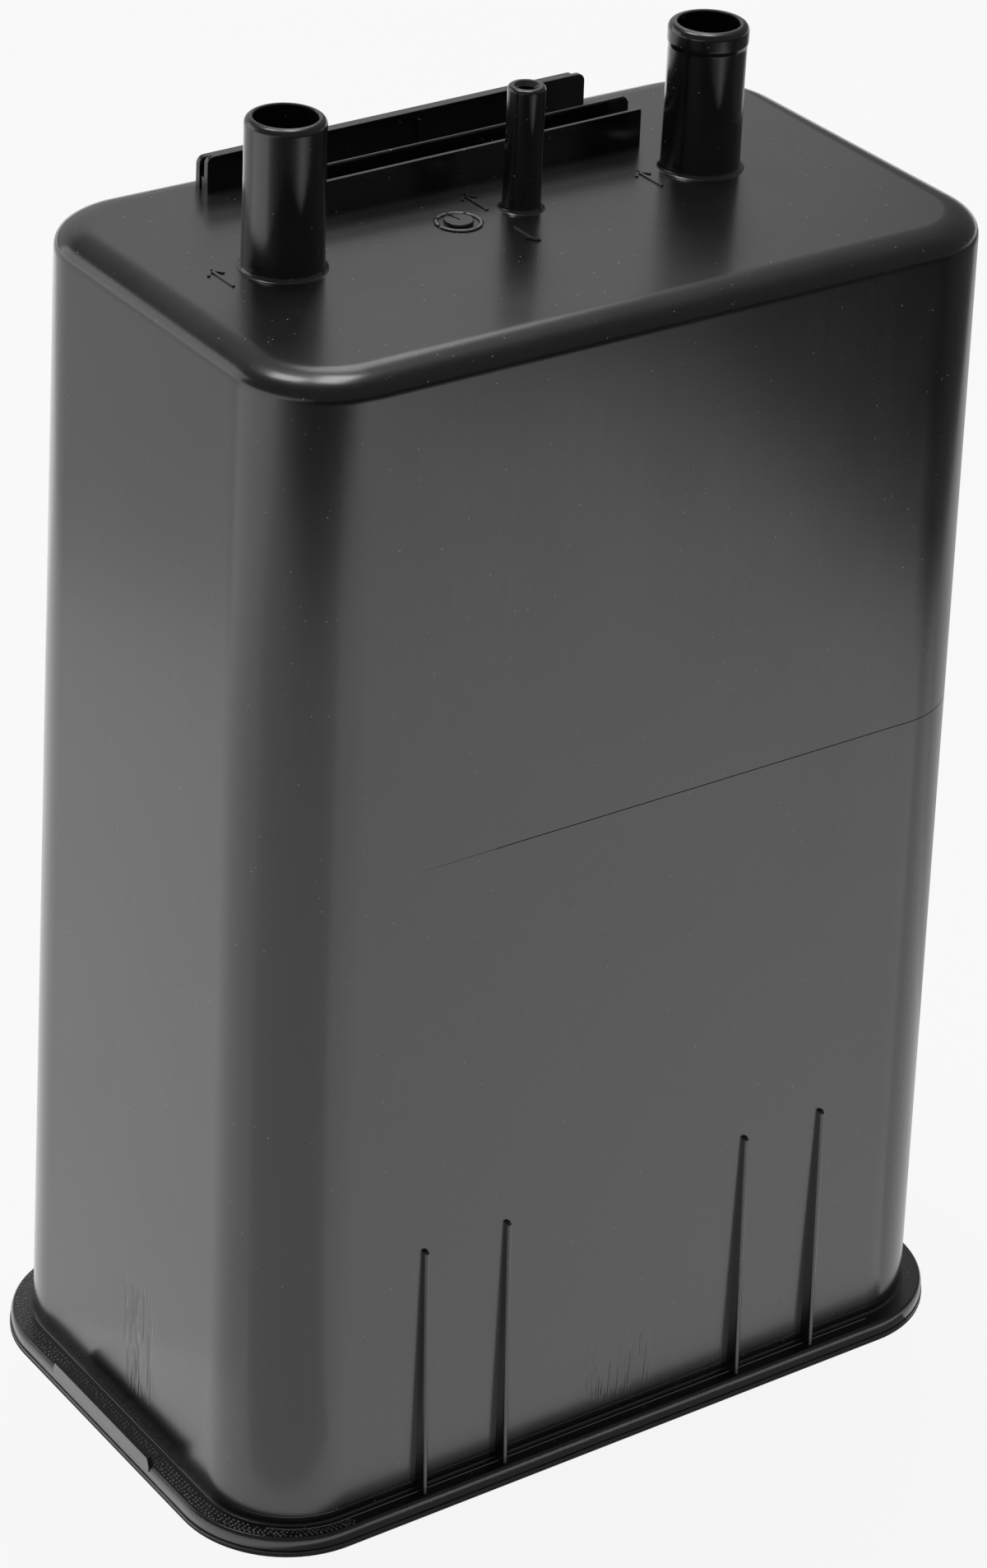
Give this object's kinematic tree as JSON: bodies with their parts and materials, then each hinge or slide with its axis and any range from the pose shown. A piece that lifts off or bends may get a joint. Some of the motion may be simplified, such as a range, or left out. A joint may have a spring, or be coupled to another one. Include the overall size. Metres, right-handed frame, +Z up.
{
  "type": "charcoal canister",
  "caption": "Upright black plastic fuel vapour canister with a welded base flange, hose ports and a slide mount on its roof, packed with carbon",
  "frame": {"origin": "on the ground below the middle of the welded flange", "axes": "+Z up through the roof, X along the long side with the air port at -X, -Y towards the ribbed front face"},
  "size_m": [0.191, 0.1182, 0.2943],
  "materials": {
    "housing_plastic": "satin black injection moulding, dusty",
    "cover_plastic": "satin black injection moulding",
    "fleece": "needled polyester fleece",
    "carbon": "packed activated carbon pellets",
    "grid_plastic": "plain black moulding",
    "spring_steel": "zinc plated spring wire"
  },
  "bodies": {
    "root": {"housing": "housing_plastic", "bottom_cover": "cover_plastic", "air_filter": "fleece", "purge_filter": "fleece", "tank_filter": "fleece", "air_carbon": "carbon", "main_carbon": "carbon", "air_lower_filter": "fleece", "main_lower_filter": "fleece", "air_grid": "grid_plastic", "main_grid": "grid_plastic", "air_spring": "spring_steel", "main_spring_left": "spring_steel", "main_spring_right": "spring_steel"}
  },
  "joints": []
}
